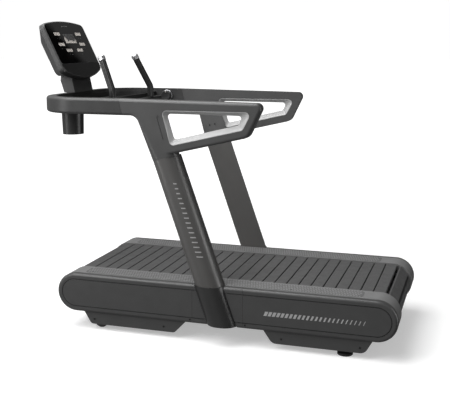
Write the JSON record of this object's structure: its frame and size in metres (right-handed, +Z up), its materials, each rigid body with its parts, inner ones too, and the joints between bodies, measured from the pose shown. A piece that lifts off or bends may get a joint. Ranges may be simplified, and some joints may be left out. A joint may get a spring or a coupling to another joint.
{
  "type": "manual treadmill",
  "caption": "Motorless treadmill with a slat belt on a round-ended deck, leaning columns, window handles, tray, console and cup holder.",
  "frame": {"origin": "on the floor, midway between the console's front and the deck's rear end, on the belt's centre line", "axes": "+X from the console to the rear of the deck, +Y to the runner's right, +Z up"},
  "size_m": [1.9029, 0.915, 1.5435],
  "materials": {
    "belt_rubber": "matte ribbed",
    "carrier_rubber": "matte",
    "casing_charcoal": "satin",
    "rail_grey": "satin",
    "grip_texture": "fine raised texture",
    "column_grey": "satin",
    "boot_gloss": "gloss",
    "head_grey": "satin",
    "liner_silver": "satin metallic",
    "frame_black": "satin",
    "tray_black": "fine texture",
    "cup_gloss": "gloss",
    "grip_rubber": "ribbed",
    "bright_chrome": "polished",
    "knob_black": "satin",
    "button_red": "gloss",
    "console_bezel": "satin",
    "console_shell": "fine texture",
    "display_glass": "high gloss",
    "circuit_board": "satin",
    "frame_steel": "satin powder coat",
    "turned_steel": "machined",
    "disc_aluminium": "machined",
    "glide_plastic": "smooth",
    "screw_black": "black oxide",
    "foot_rubber": "matte",
    "wheel_rubber": "matte"
  },
  "bodies": {
    "frame": {"brake_guide": "turned_steel", "side_frames": "frame_steel", "cross_members": "frame_steel", "drum_bearings": "turned_steel", "glide_rails": "glide_plastic", "left_cover_front": "casing_charcoal", "left_cover_middle": "casing_charcoal", "left_cover_rear": "casing_charcoal", "right_cover_front": "casing_charcoal", "right_cover_middle": "casing_charcoal", "right_cover_rear": "casing_charcoal", "left_foot_rail": "rail_grey", "right_foot_rail": "rail_grey", "grip_strips": "grip_texture", "rail_screws": "screw_black", "belly_pans": "frame_steel", "front_skirts": "casing_charcoal", "rear_skirts": "casing_charcoal", "panel_screws": "screw_black", "wheel_axles": "turned_steel", "wheel_forks": "frame_steel", "foot_blocks": "frame_steel", "left_upright": "column_grey", "right_upright": "column_grey", "boots": "boot_gloss", "left_handle_head": "head_grey", "right_handle_head": "head_grey", "handle_liners": "liner_silver", "console_frame": "frame_black", "tray": "tray_black", "cup_holder": "cup_gloss", "grip_crossbar": "frame_black", "grip_sticks": "grip_rubber", "grip_caps": "bright_chrome", "knob_base": "knob_black", "console_bezel": "console_bezel", "console_glass": "display_glass", "console_back_shell": "console_shell", "display_board": "circuit_board", "console_neck": "console_shell"},
    "belt_top": {"top_slats": "belt_rubber", "top_carrier_belts": "carrier_rubber"},
    "belt_bottom": {"bottom_slats": "belt_rubber", "bottom_carrier_belts": "carrier_rubber"},
    "front_drum_assembly": {"front_drum": "turned_steel", "front_wrap_slats": "belt_rubber", "front_wrap_belts": "carrier_rubber", "brake_disc": "disc_aluminium"},
    "rear_drum_assembly": {"rear_drum": "turned_steel", "rear_wrap_slats": "belt_rubber", "rear_wrap_belts": "carrier_rubber"},
    "brake_carriage": {"brake_yoke": "turned_steel"},
    "knob": {"resistance_knob": "knob_black", "knob_ring": "bright_chrome"},
    "stop_button": {"stop_button": "button_red"},
    "left_wheel": {"left_wheel": "wheel_rubber"},
    "right_wheel": {"right_wheel": "wheel_rubber"},
    "left_foot": {"left_foot": "foot_rubber"},
    "right_foot": {"right_foot": "foot_rubber"}
  },
  "joints": [
    {"name": "belt_travel", "type": "slide", "parent": "frame", "child": "belt_top", "axis": [1, 0, 0], "range_m": [-0.06, 0.06]},
    {"name": "belt_return", "type": "slide", "parent": "frame", "child": "belt_bottom", "axis": [1, 0, 0], "range_m": [-0.06, 0.06]},
    {"name": "front_drum_turn", "type": "hinge", "parent": "frame", "child": "front_drum_assembly", "pos_m": [-0.655, 0, 0.1915], "axis": [0, 1, 0], "range_deg": [-45, 45]},
    {"name": "rear_drum_turn", "type": "hinge", "parent": "frame", "child": "rear_drum_assembly", "pos_m": [0.845, 0, 0.1915], "axis": [0, 1, 0], "range_deg": [-45, 45]},
    {"name": "resistance_turn", "type": "hinge", "parent": "frame", "child": "knob", "pos_m": [-0.465, 0.38, 1.137], "axis": [0, -1, 0], "range_deg": [0, 270]},
    {"name": "brake_slide", "type": "slide", "parent": "frame", "child": "brake_carriage", "axis": [-1, 0, 0], "range_m": [0, 0.03]},
    {"name": "stop_press", "type": "slide", "parent": "frame", "child": "stop_button", "axis": [0, 0, -1], "range_m": [0, 0.003], "stiffness_N_per_m": 400},
    {"name": "left_wheel_spin", "type": "hinge", "parent": "frame", "child": "left_wheel", "pos_m": [-0.548, -0.345, 0.037], "axis": [0, 1, 0], "continuous": true},
    {"name": "right_wheel_spin", "type": "hinge", "parent": "frame", "child": "right_wheel", "pos_m": [-0.548, 0.345, 0.037], "axis": [0, 1, 0], "continuous": true},
    {"name": "left_foot_adjust", "type": "hinge", "parent": "frame", "child": "left_foot", "pos_m": [0.706, -0.35, 0], "axis": [0, 0, 1], "continuous": true},
    {"name": "right_foot_adjust", "type": "hinge", "parent": "frame", "child": "right_foot", "pos_m": [0.706, 0.35, 0], "axis": [0, 0, 1], "continuous": true}
  ],
  "couplings": [
    {"joint": "belt_return", "follows": "belt_travel", "ratio": -1},
    {"joint": "front_drum_turn", "follows": "belt_travel", "rad_per_m": 13.09},
    {"joint": "rear_drum_turn", "follows": "belt_travel", "rad_per_m": 13.09},
    {"joint": "resistance_turn", "follows": "brake_slide", "rad_per_m": 157.07}
  ]
}
